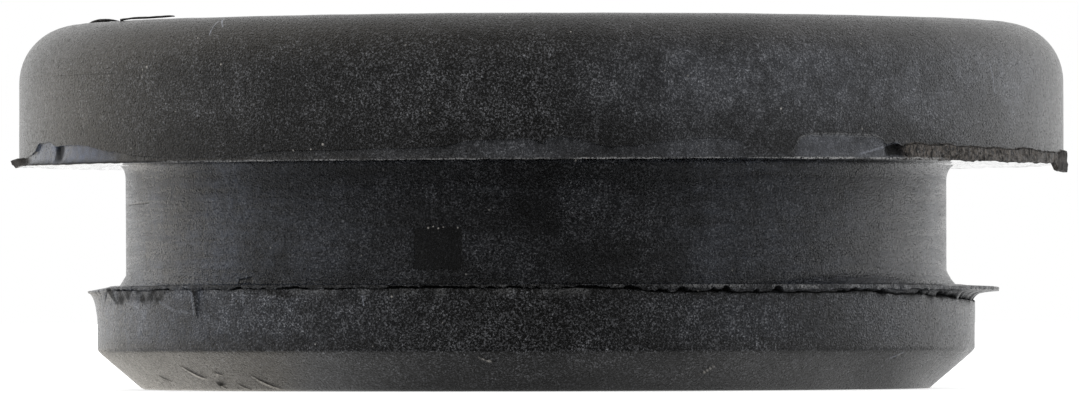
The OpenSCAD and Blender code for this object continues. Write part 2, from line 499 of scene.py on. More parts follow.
# Radius to which the foot's lower edge is worn, by angle
FOOT_WORN = [
    (-180, 0.03), (-120, 0.04), (-90, 0.1), (-50, 0.1), (0, 0.09), (30, 0.05), (50, 0.01), (90, 0.01),
]


def add_taper(section):
    """The foot's taper, with its upper edge just broken and its lower edge worn."""
    for inwards, above in ((0.003, 0.07), (0.026, 0.005), (0.075, -0.055)):
        section.add(COLLAR_R - inwards, TAPER_H + above, fine=True)
    worn = along(FOOT_WORN, COARSE_ANGLES)
    end = 1 - 0.75 * worn / TAPER_H
    for share in (0.12, 0.2, 0.3, 0.4, 0.5, 0.6, 0.7, 0.8, 0.9, 1.0):
        section.add(COLLAR_R + share * end * (FOOT_R - COLLAR_R), TAPER_H * (1 - share * end))
    section.add(FOOT_R - 0.12 * worn, 0.28 * worn)
    section.add(FOOT_R - 0.75 * worn, 0.0)


def add_foot_and_bore(section):
    """The foot's flat face and the bore, back up to the top."""
    inner = BORE_R + MOUTH
    for share in (0.96, 0.75, 0.5, 0.25, 0.06):
        section.add(inner + share * (FOOT_R - inner), 0.0)
    mouth_rows = ((inner, 0.0), (BORE_R + 0.04, MOUTH - 0.04), (BORE_R, MOUTH + 0.08))
    for radius, height in mouth_rows:
        section.add(radius, height)
    for share in np.linspace(0, 1, 7)[1:-1]:
        section.add(BORE_R, MOUTH + share * (TOTAL_H - 2 * MOUTH))
    for radius, height in mouth_rows[:0:-1]:
        section.add(radius, TOTAL_H - height)


# ---- dents, nicks and cracks
# Cuts in the taper: angle, height, length, width, slant from level, depth
TAPER_NICKS = [
    (-53.9, 0.68, 1.25, 0.2, -38, 0.035), (-48.7, 0.69, 0.6, 0.09, -35, 0.03),
    (-50.2, 0.27, 0.4, 0.14, -20, 0.1), (-45.6, 0.16, 0.6, 0.1, -35, 0.03),
    (-40.5, 0.32, 1.4, 0.17, -36, 0.03), (-63.8, 0.45, 0.8, 0.08, -30, 0.03),
    (-6.2, 1.2, 0.9, 0.07, -25, 0.03), (23.2, 0.8, 0.8, 0.07, 50, 0.03),
    (54.6, 1.25, 0.45, 0.07, 60, 0.05), (120, 0.7, 1.2, 0.1, -35, 0.08),
    (150, 0.5, 0.8, 0.1, 30, 0.06), (-140, 0.6, 1.3, 0.12, -40, 0.08),
    (-170, 0.9, 0.9, 0.1, 20, 0.06),
]
NICK_LIP = 0.13
NICK_WALL = 0.03
# Lowest level of the band of painted shade under the collar's edge on the left, dark and rough
DARK_LOW = [
    (-180, 4.2), (-75.5, 4.2), (-74, 3.8), (-72.5, 3.53), (-71.5, 3.37), (-70, 3.28), (-68.6, 3.3),
    (-67.5, 3.39), (-66.7, 3.48), (-64, 3.45), (-62, 3.33), (-57.4, 3.33), (-56, 3.6), (-54, 3.78),
    (-50, 4.2), (-37.6, 4.2), (-36.4, 3.68), (-34, 3.5), (-31.5, 3.58), (-30.3, 4.2), (-21.6, 4.2),
    (-20.4, 3.7), (-18, 3.6), (-16, 3.66), (-14.8, 4.2),
]
# The crack in the collar's side: its two edges at the top, its point, and its depth
COLLAR_CRACK = {"left": -49.4, "right": -48.2, "top": 3.84, "point": -48.8, "low": 2.7, "depth": 0.16}
# Parts of the skin that are meshed more closely: first and last angle, lowest and highest
# level, and the cuts made in each edge
CLOSER = [
    (-57.6, -50.2, 0.25, 1.45, 2), (-50.2, -35.6, 0.03, 1.3, 2), (-67, -61.5, 0.05, 0.8, 2),
    (-8.5, -4, 0.9, 1.45, 1), (21, 25.5, 0.4, 1.2, 1), (53, 56, 1.0, 1.45, 1),
    (-50.0, -47.6, 2.65, 3.85, 2), (-75, -50, 3.2, 3.82, 1), (-38, -14, 3.5, 3.85, 1),
    (37.0, 42.6, 8.66, 9.7, 1), (-67.8, -62.0, 8.66, 9.6, 1), (117, 123, 0.3, 1.1, 1),
    (-143, -137, 0.2, 1.1, 1),
]


def turn_of(points):
    """The angle of each point round the axis."""
    return np.degrees(np.arctan2(points[:, 0], -points[:, 1]))


def from_axis(points):
    """The distance of each point from the axis."""
    return np.hypot(points[:, 0], points[:, 1])


def nick_shape(points, angle, height, length, width, slant):
    """One cut on the taper, the lip pushed up below it, the painted shade on its upper wall and the
    painted light on its floor.
    """
    slope = math.hypot(TAPER_H, COLLAR_R - FOOT_R) / TAPER_H
    beside = np.radians((turn_of(points) - angle + 180) % 360 - 180) * (COLLAR_R + FOOT_R) / 2
    above = (points[:, 2] - height) * slope
    lean = math.radians(slant)
    along_cut = beside * math.cos(lean) + above * math.sin(lean)
    across = above * math.cos(lean) - beside * math.sin(lean)
    across = across - 0.2 * along_cut**2 / length
    ends = np.clip(1 - (2 * along_cut / length) ** 2, 0, 1)
    wall = np.clip(1 - across / NICK_WALL, 0, 1)
    width = width * (0.3 + 0.7 * ends)
    floor = np.clip(1 + across / width, 0, 1)
    shade = ends**0.5 * window(across, -0.3 * width - 0.03, 0.04, 0.05)
    lip = ends * window(across, -width - NICK_LIP, -0.7 * width, 0.06)
    lit = ends**0.5 * window(across, -1.5 * width, -0.25 * width - 0.03, 0.05)
    return ends**0.5 * wall * floor, lip, shade, lit


def crack_shape(points):
    """The crack in the collar's side, from 0 to 1: a steep wall on its left, a slope on its right."""
    c = COLLAR_CRACK
    share = (c["top"] - points[:, 2]) / (c["top"] - c["low"])
    left = c["left"] + share * (c["point"] - c["left"])
    right = c["right"] + share * (c["point"] - c["right"])
    place = (turn_of(points) - left) / np.maximum(right - left, 0.05)
    rise = np.clip(place / 0.12, 0, 1)
    fall = np.clip(1 - place, 0, 1)
    inside = (share > -0.05) & (share < 1) & (from_axis(points) > GROOVE_R + 0.6)
    return inside * rise * fall**0.7 * np.sqrt(np.clip(1 - share, 0, 1))


def held_still(points, on_taper):
    """How much of its movement each point keeps: little under the head, in the bore, at the foot."""
    under = (np.abs(points[:, 2] - HEAD_Z) < 0.02) & (from_axis(points) < HEAD_R - 0.05)
    bore = from_axis(points) < BORE_R + MOUTH + 0.2
    foot = np.clip(points[:, 2] / 0.15, 0, 1)
    return np.where(under, 0.05, 1.0) * np.maximum(foot, on_taper * 0.6) * np.where(bore, 0.3, 1.0)


def shape_skin(points, marks):
    """How far each point moves along its normal, and the marks with painted shade in fissures, cuts,
    the crack and under the collar's edge, and painted light on the cuts' floors, added.
    """
    torn, rough, dirt, pale = marks.T
    offset = 0.01 * noise(points, 4.0, 21) + 0.006 * noise(points, 1.1, 22)
    offset += 0.008 * torn * noise(points, 0.35, 23)
    fissure = np.clip(1 - np.abs(noise(points * (1.0, 1.0, 0.8), 0.45, 24, 3)) / 0.16, 0, 1)
    offset += rough * (0.018 * noise(points, 0.3, 25) - 0.035 * fissure)
    # Painted shade in the fissures of the rough flash
    dirt = np.maximum(dirt, 0.8 * rough * fissure)
    on_taper = points[:, 2] < TAPER_H + 0.1
    for *place, depth in TAPER_NICKS:
        hollow, lip, shade, lit = nick_shape(points, *place)
        offset += on_taper * depth * (0.3 * lip - hollow)
        # Painted shade on each cut's upper wall and painted light on its floor
        dirt = np.maximum(dirt, on_taper * shade)
        pale = np.maximum(pale, on_taper * lit)
    cut = crack_shape(points)
    offset -= COLLAR_CRACK["depth"] * cut
    # Painted shade inside the crack
    dirt = np.maximum(dirt, np.clip(1.3 * cut, 0, 1))
    # A band of painted shade under the collar's edge on the left
    band_low = along(DARK_LOW, turn_of(points)) + 0.06 * noise(points, 0.5, 26, 3)
    band = window(points[:, 2], band_low, COLLAR_Z - 0.1, 0.14) * (points[:, 2] > 3.0)
    patchy = np.clip(0.75 + 0.9 * noise(points, 0.35, 27, 3), 0, 1)
    offset -= 0.012 * band
    dirt = np.maximum(dirt, 0.9 * band * patchy)
    return offset * held_still(points, on_taper), np.column_stack((torn, rough, dirt, pale))


# ---- the mesh
def skin_faces(counts, starts):
    """Faces between neighbouring rows, the last row joining the first."""
    faces = []
    for i, count in enumerate(counts):
        j = (i + 1) % len(counts)
        a, b, other = starts[i], starts[j], counts[j]
        if count == other:
            for k in range(count):
                n = (k + 1) % count
                faces.append((a + k, a + n, b + n, b + k))
            continue
        fewer = min(count, other)
        wide, close = (a, b) if count == fewer else (b, a)
        for k in range(fewer):
            n = (k + 1) % fewer
            c = [close + (3 * k + step) % (3 * fewer) for step in range(4)]
            fan = [(wide + k, c[1], c[0]), (wide + k, wide + n, c[1])]
            fan += [(wide + n, c[2], c[1]), (wide + n, c[3], c[2])]
            faces += fan if count == fewer else [f[::-1] for f in fan]
    return faces


def swept_mesh(name, section):
    """The closed mesh of the section's rows, with its marks as point attributes."""
    counts = [len(row[0]) for row in section.rows]
    starts = np.concatenate([[0], np.cumsum(counts)[:-1]]).tolist()
    points, marks = [], []
    for angles, radius, height, shift, *row_marks in section.rows:
        turn = np.radians(angles)
        points.append(np.column_stack((shift + radius * np.sin(turn), -radius * np.cos(turn), height)))
        marks.append(np.column_stack(row_marks))
    mesh = bpy.data.meshes.new(name)
    mesh.from_pydata(np.concatenate(points).tolist(), [], skin_faces(counts, starts))
    marks = np.concatenate(marks)
    for i, mark in enumerate(MARKS):
        layer = mesh.attributes.new(mark, "FLOAT", "POINT")
        layer.data.foreach_set("value", marks[:, i].astype(np.float32))
    return mesh


def mesh_closer(mesh):
    """Cuts the faces in the chosen parts of the skin into smaller ones."""
    bm = bmesh.new()
    bm.from_mesh(mesh)
    for start, end, low, high, cuts in CLOSER:
        edges = set()
        for face in bm.faces:
            x, y, z = face.calc_center_median()
            turn = math.degrees(math.atan2(x, -y))
            outside = math.hypot(x, y) > GROOVE_R - 0.8
            if outside and low < z < high and start < turn < end:
                edges.update(face.edges)
        bmesh.ops.subdivide_edges(bm, edges=list(edges), cuts=cuts, use_grid_fill=True)
    bm.to_mesh(mesh)
    bm.free()


def new_object(name, data):
    """An object with that data, linked to the scene."""
    made = bpy.data.objects.new(name, data)
    bpy.context.scene.collection.objects.link(made)
    return made


def read(collection, name, width):
    """A property of all the collection's items, as an array with a row for each."""
    values = np.zeros(len(collection) * width, np.float32)
    collection.foreach_get(name, values)
    return values.reshape(-1, width).astype(float)


RING_PARTS = (
    add_top, add_torn_face, add_edge_flash, add_groove, add_collar, add_taper, add_foot_and_bore,
)


def make_ring():
    """The whole ring as one object, with its skin dented and nicked."""
    section = Section()
    for add_part in RING_PARTS:
        add_part(section)
    mesh = swept_mesh("ring", section)
    mesh_closer(mesh)
    points = read(mesh.vertices, "co", 3)
    normals = read(mesh.vertex_normals, "vector", 3)
    marks = np.column_stack([read(mesh.attributes[mark].data, "value", 1) for mark in MARKS])
    offset, marks = shape_skin(points, marks)
    points = points + normals * offset[:, None]
    points[:, 2] = np.maximum(points[:, 2], 0.0)
    mesh.vertices.foreach_set("co", (points * MM).astype(np.float32).ravel())
    for i, mark in enumerate(MARKS):
        mesh.attributes[mark].data.foreach_set("value", marks[:, i].astype(np.float32))
    mesh.shade_smooth()
    mesh.update()
    mesh.set_sharp_from_angle(angle=math.radians(50))
    return new_object("ring", mesh)


# Slivers of flash on the top: angle, length, thickness, and the heights of their upper and
# lower lines by place along them, from -1 to 1
SLIVERS = [
    (-73.4, 1.2, 0.12,
     [(-1, 0.0), (-0.7, 0.09), (-0.3, 0.16), (0.1, 0.18), (0.6, 0.15), (1, 0.1)],
     [(-1, -0.04), (-0.5, -0.03), (0, 0.03), (0.5, 0.07), (1, 0.08)]),
    (-58.6, 2.08, 0.1,
     [(-1, 0.06), (-0.6, 0.11), (-0.3, 0.14), (0.1, 0.15), (0.5, 0.18), (0.9, 0.2), (1, 0.17)],
     [(-1, -0.05), (-0.85, 0.0), (-0.6, 0.04), (0, 0.06), (0.6, 0.1), (1, 0.14)]),
]
SLIVER_STEPS = 30
SLIVER_SIDES = 8


def make_sliver(name, angle, length, thick, upper, lower):
    """A thin thread of rubber along X, rooted in the top at its left end."""
    at_r = HEAD_R - HEAD_ROUND - 0.5
    centre_x = HEAD_SHIFT + at_r * math.sin(math.radians(angle))
    centre_y = -at_r * math.cos(math.radians(angle))
    shares = np.linspace(-1, 1, SLIVER_STEPS + 1)
    wave = noise(np.column_stack((shares * 4, shares * 0, shares * 0)), 0.7, int(-angle))
    top = np.interp(shares, *zip(*upper)) + 0.006 * wave
    low = np.interp(shares, *zip(*lower))
    points, faces = [], []
    for share, high, bottom in zip(shares, top, low):
        middle, half = (high + bottom) / 2, max((high - bottom) / 2, 0.006)
        wide = 0.5 * thick * (1 - 0.75 * share**2) + 0.008
        for side in range(SLIVER_SIDES):
            turn = 2 * math.pi * side / SLIVER_SIDES
            x = centre_x + share * length / 2
            y = centre_y + 0.06 * share**2 + wide * math.cos(turn)
            points.append((x * MM, y * MM, (TOTAL_H - 0.03 + middle + half * math.sin(turn)) * MM))
    for i in range(SLIVER_STEPS):
        for k in range(SLIVER_SIDES):
            n = (k + 1) % SLIVER_SIDES
            a, b = i * SLIVER_SIDES, (i + 1) * SLIVER_SIDES
            faces.append((a + k, b + k, b + n, a + n))
    faces.append(tuple(range(SLIVER_SIDES)))
    faces.append(tuple(SLIVER_STEPS * SLIVER_SIDES + k for k in reversed(range(SLIVER_SIDES))))
    mesh = bpy.data.meshes.new(name)
    mesh.from_pydata(points, [], faces)
    mesh.shade_smooth()
    mesh.update()
    return new_object(name, mesh)


# ---- materials
def grey(level, tint=(1.0, 1.0, 1.0)):
    """A grey of that level, a little coloured by the tint."""
    return (level * tint[0], level * tint[1], level * tint[2], 1.0)


BLUISH = (0.94, 1.0, 1.16)
BLUER = (0.84, 1.0, 1.36)
BLUEST = (0.65, 0.95, 1.7)
WARM = (1.05, 1.0, 0.92)
BROWN = (1.18, 1.0, 0.84)
FLECK_TINT = (0.98, 1.0, 1.07)


class Graph:
    """A short way to write shader nodes."""

    def __init__(self, owner):
        owner.use_nodes = True
        self.tree = owner.node_tree
        self.tree.nodes.clear()

    def node(self, kind, settings=None, **inputs):
        made = self.tree.nodes.new(kind)
        for key, value in (settings or {}).items():
            setattr(made, key, value)
        for key, value in inputs.items():
            self.put(made.inputs[key.replace("_", " ")], value)
        return made

    def put(self, socket, value):
        if isinstance(value, bpy.types.NodeSocket):
            self.tree.links.new(value, socket)
        else:
            socket.default_value = value

    def math(self, operation, first, *others):
        """One operation between the first value and each of the others in turn."""
        for other in others:
            made = self.node("ShaderNodeMath", {"operation": operation})
            self.put(made.inputs[0], first)
            self.put(made.inputs[1], other)
            first = made.outputs[0]
        return first

    def times(self, *values):
        return self.math("MULTIPLY", *values)

    def plus(self, *values):
        return self.math("ADD", *values)

    def minus(self, *values):
        return self.math("SUBTRACT", *values)

    def most(self, *values):
        return self.math("MAXIMUM", *values)

    def rest(self, value):
        """What is left of 1."""
        return self.minus(1.0, value)

    def parts(self, vector):
        """The x, y and z of a vector."""
        return self.node("ShaderNodeSeparateXYZ", Vector=vector).outputs

    def noise(self, where, scale, detail=2.0, roughness=0.5):
        made = self.node("ShaderNodeTexNoise", Vector=where, Scale=scale, Detail=detail)
        self.put(made.inputs["Roughness"], roughness)
        return made.outputs["Fac"]

    def scaled(self, where, scale):
        made = self.node("ShaderNodeVectorMath", {"operation": "MULTIPLY"})
        self.put(made.inputs[0], where)
        self.put(made.inputs[1], scale)
        return made.outputs[0]

    def stretch(self, value, low, high, to_low=0.0, to_high=1.0, smooth=True):
        """Maps low to to_low and high to to_high, and holds the value outside them."""
        course = "SMOOTHSTEP" if smooth else "LINEAR"
        made = self.node("ShaderNodeMapRange", {"interpolation_type": course})
        for socket, given in zip(made.inputs[:5], (value, low, high, to_low, to_high)):
            self.put(socket, given)
        return made.outputs[0]

    def between(self, value, low, high, soft):
        """1 from low to high, 0 outside, with soft sides."""
        rise = self.stretch(value, low - soft / 2, low + soft / 2)
        fall = self.stretch(value, high - soft / 2, high + soft / 2, 1.0, 0.0)
        return self.times(rise, fall)

    def blend(self, share, a, b, mode="MIX"):
        made = self.node("ShaderNodeMix", {"data_type": "RGBA", "blend_type": mode})
        self.put(made.inputs["Factor"], share)
        self.put(made.inputs["A"], a)
        self.put(made.inputs["B"], b)
        return made.outputs["Result"]

    def tinted(self, a, b):
        """Two colours, or a colour and a value, multiplied."""
        return self.blend(1.0, a, b, "MULTIPLY")

    def table(self, angle, points):
        """A colour by angle, in straight stretches through (angle, level and perhaps tint)."""
        ramp = self.node("ShaderNodeValToRGB", Fac=self.stretch(angle, -180.0, 180.0, smooth=False))
        stops = ramp.color_ramp.elements
        while len(stops) > 1:
            stops.remove(stops[-1])
        for i, (at, level, *tint) in enumerate(points):
            stop = stops[0] if i == 0 else stops.new(at / 360 + 0.5)
            stop.position = at / 360 + 0.5
            stop.color = grey(level, *tint)
        return ramp.outputs[0]

    def angle_of(self, x, y):
        """The angle round the axis."""
        turn = self.math("ARCTAN2", x, self.times(y, -1.0))
        return self.times(turn, 180 / math.pi)

    def length_of(self, x, y):
        """The length of a line that runs x across and y along."""
        return self.math("SQRT", self.plus(self.times(x, x), self.times(y, y)), 0.0)

    def mark(self, name):
        return self.node("ShaderNodeAttribute", {"attribute_name": name}).outputs["Fac"]

    def finish(self, shader, kind="ShaderNodeOutputMaterial"):
        self.tree.links.new(shader.outputs[0], self.node(kind).inputs["Surface"])


# The skin's noises, in features per millimetre
GRAIN = 17.0
FLECKS = 13.5
RAGGED = 6.0  # broken outlines
GLINTS = 5.0  # specks on the head's underside
MOTTLE = 2.4
DUST = 2.3
CLOUD = 0.42
TURNED = (0.22, 0.22, 4.0)  # faint lines round the axis
FOLDS = (9.0, 9.0, 4.5)  # upright folds in the rough flash
# Radii between which the outer skin begins, clear of the bore
OUTER_SKIN = (12.0, 12.5)
DEGREE = math.radians(1)


class Skin:
    """What the rubber's material knows of each point: its place, marks, grain and mottle."""

    def __init__(self, g):
        self.g = g
        place = g.node("ShaderNodeTexCoord").outputs["Object"]
        self.p = g.scaled(place, (1 / MM, 1 / MM, 1 / MM))
        x, y, self.z = g.parts(self.p)
        self.angle = g.angle_of(x, y)
        self.radius = g.length_of(x, y)
        self.outer = g.stretch(self.radius, *OUTER_SKIN)
        self.torn, self.rough, self.dirt, self.pale = (g.mark(mark) for mark in MARKS)
        self.grain = g.noise(g.scaled(self.p, (1.0, 0.6, 1.0)), GRAIN, 1.0, 0.5)
        self.fleck = g.noise(g.scaled(self.p, (1.0, 0.7, 1.0)), FLECKS, 1.0, 0.7)
        self.mottle = g.noise(self.p, MOTTLE, 4.0, 0.6)
        self.cloud = g.noise(self.p, CLOUD, 4.0, 0.6)
        self.turned = g.noise(g.scaled(self.p, TURNED), 1.0, 4.0, 0.65)
        at_floor = g.stretch(self.radius, GROOVE_R + 0.5, GROOVE_R + 0.3)
        self.in_groove = g.times(g.between(self.z, COLLAR_Z, HEAD_Z, 0.3), at_floor)
        self.breakup = g.stretch(g.noise(self.p, RAGGED, 3.0, 0.6), 0.3, 0.7, -0.4, 0.4, smooth=False)

    def mottled(self, low, high):
        """A value that goes from low to high with the mottling."""
        return self.g.stretch(self.mottle, 0.3, 0.7, low, high)

    def clouded(self, low, high):
        """A value that goes from low to high with the clouds."""
        return self.g.stretch(self.cloud, 0.35, 0.65, low, high)

    def grained(self, low=0.0, high=1.0):
        """A value that goes from low to high with the grain."""
        return self.g.stretch(self.grain, 0.35, 0.6, low, high)

    def below(self, top, bottom, low=0.0, high=1.0):
        """Low above the top level and high below the bottom level."""
        return self.g.stretch(self.z, top, bottom, low, high)

    def patch(self, start, end, low, high, soft):
        """1 on the groove's floor between two angles and two levels, with a broken outline."""
        g = self.g
        across = g.between(self.angle, start, end, soft / (GROOVE_R * DEGREE))
        area = g.times(across, g.between(self.z, low, high, soft))
        ragged = g.plus(area, self.breakup)
        return g.times(g.stretch(ragged, 0.35, 0.75), g.stretch(area, 0.0, 0.2))

    def from_point(self, point, radius):
        """How far each point is beside and above an (angle, level) on a skin of that radius."""
        beside = self.g.times(self.g.minus(self.angle, point[0]), DEGREE * radius)
        return beside, self.g.minus(self.z, point[1])

    def spot(self, angle, level, on_radius, radius):
        """1 in a small round spot on the skin."""
        away = self.g.length_of(*self.from_point((angle, level), on_radius))
        return self.g.times(self.g.stretch(away, radius, 0.5 * radius), self.outer)

    def streak(self, start, end, width, radius):
        """1 along a thin line on the skin, from one (angle, level) to another."""
        g = self.g
        run, rise = (end[0] - start[0]) * DEGREE * radius, end[1] - start[1]
        length = math.hypot(run, rise)
        run, rise = run / length, rise / length
        across, up = self.from_point(start, radius)
        along_line = g.plus(g.times(across, run), g.times(up, rise))
        beside = g.math("ABSOLUTE", g.minus(g.times(across, rise), g.times(up, run)), 0.0)
        return g.times(g.stretch(beside, width, 0.3 * width), g.between(along_line, 0.0, length, 0.1))

    def strongest(self, shape, places):
        """The strongest of several marks: each place has a shape's values, then its strength."""
        found = 0.0
        for *place, strength in places:
            found = self.g.most(self.g.times(shape(*place), strength), found)
        return found


# Pale streaks: their two ends as (angle, level), width, the radius they lie on, and strength
STREAKS = [
    ((-22.5, 3.6), (-22.3, 3.2), 0.035, COLLAR_R, 0.8),
    ((-40.4, 3.8), (-40.5, 3.2), 0.05, COLLAR_R, 0.3),
    ((-57.4, 3.4), (-53.8, 3.05), 0.09, COLLAR_R, 0.3),
    ((-54.2, 3.05), (-50.1, 2.95), 0.08, COLLAR_R, 0.25),
    ((-50.1, 3.7), (-49.5, 2.85), 0.05, COLLAR_R, 0.5),
    # The next two paint the highlight along the ridge at the end of the crest
    ((36.4, 8.84), (39.2, 9.06), 0.06, HEAD_R, 0.45),
    ((39.2, 9.06), (41.8, 9.28), 0.07, HEAD_R, 0.45),
    ((53.6, 1.18), (55.6, 1.42), 0.05, COLLAR_R, 0.9),
    ((-39.2, 13.98), (-37.6, 13.66), 0.03, HEAD_R, 0.9),
    ((-39.3, 13.9), (-38.7, 13.35), 0.03, HEAD_R, 0.9),
    ((57.4, 12.4), (58.3, 11.2), 0.025, HEAD_R, 0.9),
    ((-43.9, 4.04), (-43.3, 4.36), 0.05, GROOVE_R, 0.6),
]
# Dark scratches, in the same way
SCRATCHES = [
    ((-81.0, 7.12), (-68.6, 7.18), 0.035, GROOVE_R, 0.7),
    ((-44.9, 4.12), (-42.3, 4.22), 0.14, GROOVE_R, 0.7),
    ((-80.5, 12.0), (-52.0, 11.97), 0.03, HEAD_R, 0.4),
]
# Smudges in the groove, and a painted shadow under the head across the front (the last): first and
# last angle, lowest and highest level, soft rim, strength
SMUDGES_AND_SHADE = [
    (-16.7, -10.0, 4.55, 6.15, 0.2, 0.78), (-10.0, 3.2, 5.87, 7.3, 0.7, 0.42),
    (3.2, 14.0, 4.65, 5.6, 0.5, 0.4), (-30.0, 30.0, 7.8, 8.6, 0.8, 0.35),
]
# Larger specks of dust: angle, level, radius of the skin they lie on, and their own radius
SPECKS = [
    (-14.7, 6.12, GROOVE_R, 0.05), (-14.0, 6.17, GROOVE_R, 0.04), (-13.3, 6.1, GROOVE_R, 0.045),
    (-12.6, 6.15, GROOVE_R, 0.03), (-10.6, 6.12, GROOVE_R, 0.04), (-26.6, 8.98, HEAD_R, 0.045),
    (-24.5, 9.02, HEAD_R, 0.04), (-18.5, 3.55, COLLAR_R, 0.05), (5.3, 8.62, HEAD_R, 0.05),
    (-46.8, 12.2, HEAD_R, 0.06), (-47.4, 12.1, HEAD_R, 0.04), (-35.8, 12.23, HEAD_R, 0.05),
    (-40.2, 13.25, HEAD_R, 0.04), (-23.1, 9.2, HEAD_R, 0.06), (26.6, 10.5, HEAD_R, 0.05),
]
# Grey of the moulded skin by angle, on each part of the ring: painted light and reflection, lighter
# and bluish on the sides and the right front where light falls, darkest at the front, with some of the
# skin's bloom; the taper's is a warm grey
HEAD_TONE_AND_LIGHT = [
    (-180, 0.006), (-95, 0.012, BROWN), (-60, 0.008, WARM), (-30, 0.005), (0, 0.005),
    (16, 0.027, BLUISH), (66, 0.036, BLUISH), (78, 0.014, WARM), (95, 0.012, BROWN), (180, 0.006),
]
GROOVE_TONE_AND_LIGHT = [
    (-180, 0.004), (-60, 0.046, BLUER), (-40, 0.021, BLUER), (-25, 0.01, BLUER), (-12, 0.005, BLUER),
    (15, 0.005, BLUER), (25, 0.016, BLUER), (40, 0.012, BLUER), (60, 0.02, BLUISH),
    (74, 0.045, BLUISH), (100, 0.02), (180, 0.004),
]
COLLAR_TONE_AND_LIGHT = [
    (-180, 0.008), (-66, 0.052, BLUER), (-54, 0.042, BLUER), (-40, 0.014, BLUER), (-15, 0.002, BLUER),
    (0, 0.0), (15, 0.003, BLUER), (25, 0.008, BLUER), (55, 0.01, BLUER), (180, 0.008),
]
TAPER_TONE = [
    (-180, 0.005, WARM), (-50, 0.01, WARM), (0, 0.004, WARM), (60, 0.004, WARM), (180, 0.005, WARM),
]
# Colour of the torn faces, by angle, with a painted reflection: light and bluish on the left and on
# the right where they catch the light
TORN_TONE_AND_LIGHT = [
    (-180, 0.02), (-92, 0.01), (-74, 0.045, BLUEST), (-66, 0.085, BLUEST), (-57, 0.095, BLUEST),
    (-51, 0.016), (0, 0.022, BLUISH), (26, 0.03, BLUISH), (30, 0.075, BLUISH), (40, 0.07, BLUISH),
    (180, 0.03),
]
# Levels between which the tone changes: on the head's side low down and high up, near the
# collar's lower rim, and where the extra flecks on the collar begin
HEAD_LOW = (9.2, 11.2)
HEAD_HIGH = (12.2, 13.6)
COLLAR_LOW = (2.2, 1.6)
COLLAR_FLECKED = (1.9, 2.4)
# First and last angle of the extra flecks and their soft ends, and the angles between which
# the torn faces turn smooth
FLECKED = (-75.0, -24.0, 24.0)
TEAR_SMOOTH = (-46.0, -52.0)
# Greys of the flecks, the rough flash, the dirty marks and painted shade, the dust, the streaks, the
# pale edges, mostly painted highlight, and the painted light on the cuts' floors
FLECK_GREY = 0.066
FLASH_GREY = 0.055
SHADE_AND_DIRT_GREY = 0.002
DUST_GREY = 0.35
STREAK_GREY = 0.3
EDGE_GREY = 0.3
CUT_GREY = 0.7


def rubber_masks(g, skin):
    """Where the smudges, the streaks, the specks of dust, the pits and the underside are."""
    smudge_and_shade = g.times(skin.strongest(skin.patch, SMUDGES_AND_SHADE), skin.outer)
    streak = g.times(skin.strongest(skin.streak, STREAKS), skin.outer)
    cells = g.node("ShaderNodeTexVoronoi", Vector=skin.p, Scale=DUST)
    distance = cells.outputs["Distance"]
    pick = g.node("ShaderNodeSeparateColor", Color=cells.outputs["Color"]).outputs[0]
    dusty = g.stretch(pick, 0.84, 1.0, 0.0, 0.9, smooth=False)
    dust = g.times(g.stretch(distance, 0.1, 0.05), dusty)
    for speck in SPECKS:
        dust = g.most(skin.spot(*speck), dust)
    pits = g.times(g.stretch(distance, 0.11, 0.06), g.stretch(pick, 0.12, 0.1))
    pits = g.most(pits, skin.strongest(skin.streak, SCRATCHES))
    normal = g.node("ShaderNodeNewGeometry").outputs["Normal"]
    faces_down = g.stretch(g.parts(normal)[2], -0.8, -0.95)
    at_head = g.stretch(skin.z, HEAD_Z - 0.4, HEAD_Z - 0.3)
    under = g.times(faces_down, at_head, g.rest(skin.rough))
    return smudge_and_shade, streak, dust, pits, under


def moulded_tone(g, skin):
    """The grey of the moulded skin by place, with painted light by angle."""
    head = g.tinted(g.table(skin.angle, HEAD_TONE_AND_LIGHT), g.stretch(skin.z, *HEAD_LOW, 0.3, 1.0))
    head = g.blend(g.stretch(skin.z, *HEAD_HIGH), head, g.tinted(head, grey(0.35, BROWN)))
    collar = g.table(skin.angle, COLLAR_TONE_AND_LIGHT)
    rim = g.stretch(g.plus(skin.z, g.times(skin.breakup, 0.4)), *COLLAR_LOW)
    collar = g.blend(g.times(rim, 0.85), collar, g.tinted(collar, grey(0.5, BROWN)))
    on_collar = g.stretch(skin.z, TAPER_H - 0.03, TAPER_H + 0.03)
    above_collar = g.stretch(skin.z, COLLAR_Z - 0.02, COLLAR_Z + 0.02)
    inside = g.stretch(skin.radius, GROOVE_R + 0.7, GROOVE_R + 0.5)
    on_head = g.stretch(skin.z, HEAD_Z - 0.05, HEAD_Z + 0.02)
    tone = g.blend(on_collar, g.table(skin.angle, TAPER_TONE), collar)
    tone = g.blend(g.times(above_collar, inside), tone, g.table(skin.angle, GROOVE_TONE_AND_LIGHT))
    return g.blend(on_head, tone, head)


